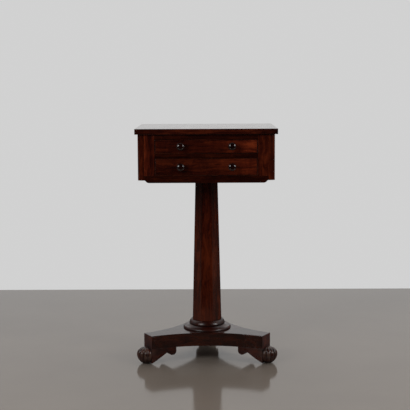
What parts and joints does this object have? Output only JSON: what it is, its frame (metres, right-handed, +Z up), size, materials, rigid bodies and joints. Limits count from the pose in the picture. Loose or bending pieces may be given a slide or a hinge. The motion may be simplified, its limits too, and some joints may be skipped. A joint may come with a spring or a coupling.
{
  "type": "teapoy",
  "caption": "Small pedestal table: rectangular top over a shallow case with turned-knob drawers, on an eight-sided tapering column and a three-armed platform with lobed scroll feet.",
  "frame": {"origin": "on the floor, at the middle of the bounding box of the whole table in plan; the column's axis stands 33 mm in front of it, because the rear arm reaches further back than the top", "axes": "+Z up, -Y to the front, where the drawers open, +X to the right of somebody facing the drawers"},
  "size_m": [0.4498, 0.444, 0.752],
  "materials": {
    "show_wood": "dark red-brown mahogany, French polished",
    "pedestal_wood": "dark red-brown mahogany, French polished",
    "knob_wood": "very dark turned wood, high gloss",
    "lining_wood": "pale brown drawer lining, waxed",
    "carcase_wood": "unpolished carcase timber",
    "screw_steel": "dull steel"
  },
  "bodies": {
    "frame": {"apron_front": "show_wood", "base_ring": "pedestal_wood", "bearer": "carcase_wood", "bearer_screws": "screw_steel", "case_back": "show_wood", "case_bottom": "carcase_wood", "case_side_left": "show_wood", "case_side_right": "show_wood", "collar": "pedestal_wood", "column": "pedestal_wood", "drawer_stops": "carcase_wood", "foot_dowels": "carcase_wood", "foot_front_left": "pedestal_wood", "foot_front_right": "pedestal_wood", "foot_rear": "pedestal_wood", "guide_lower_left": "carcase_wood", "guide_lower_right": "carcase_wood", "guide_upper_left": "carcase_wood", "guide_upper_right": "carcase_wood", "kicker_left": "carcase_wood", "kicker_right": "carcase_wood", "platform": "pedestal_wood", "post_back_left": "show_wood", "post_back_right": "show_wood", "post_front_left": "show_wood", "post_front_right": "show_wood", "rail_middle": "show_wood", "rail_upper": "show_wood", "runner_left": "carcase_wood", "runner_right": "carcase_wood", "stile_left": "show_wood", "stile_right": "show_wood", "top_board": "show_wood", "top_screws": "screw_steel"},
    "drawer_upper": {"drawer_upper_back": "lining_wood", "drawer_upper_cockbead": "show_wood", "drawer_upper_floor": "lining_wood", "drawer_upper_front": "show_wood", "drawer_upper_knob_left": "knob_wood", "drawer_upper_knob_right": "knob_wood", "drawer_upper_side_left": "lining_wood", "drawer_upper_side_right": "lining_wood"},
    "drawer_lower": {"drawer_lower_back": "lining_wood", "drawer_lower_cockbead": "show_wood", "drawer_lower_floor": "lining_wood", "drawer_lower_front": "show_wood", "drawer_lower_knob_left": "knob_wood", "drawer_lower_knob_right": "knob_wood", "drawer_lower_side_left": "lining_wood", "drawer_lower_side_right": "lining_wood"}
  },
  "joints": [
    {"name": "drawer_upper_slide", "type": "slide", "parent": "frame", "child": "drawer_upper", "axis": [0, -1, 0], "range_m": [0, 0.21]},
    {"name": "drawer_lower_slide", "type": "slide", "parent": "frame", "child": "drawer_lower", "axis": [0, -1, 0], "range_m": [0, 0.21]}
  ]
}
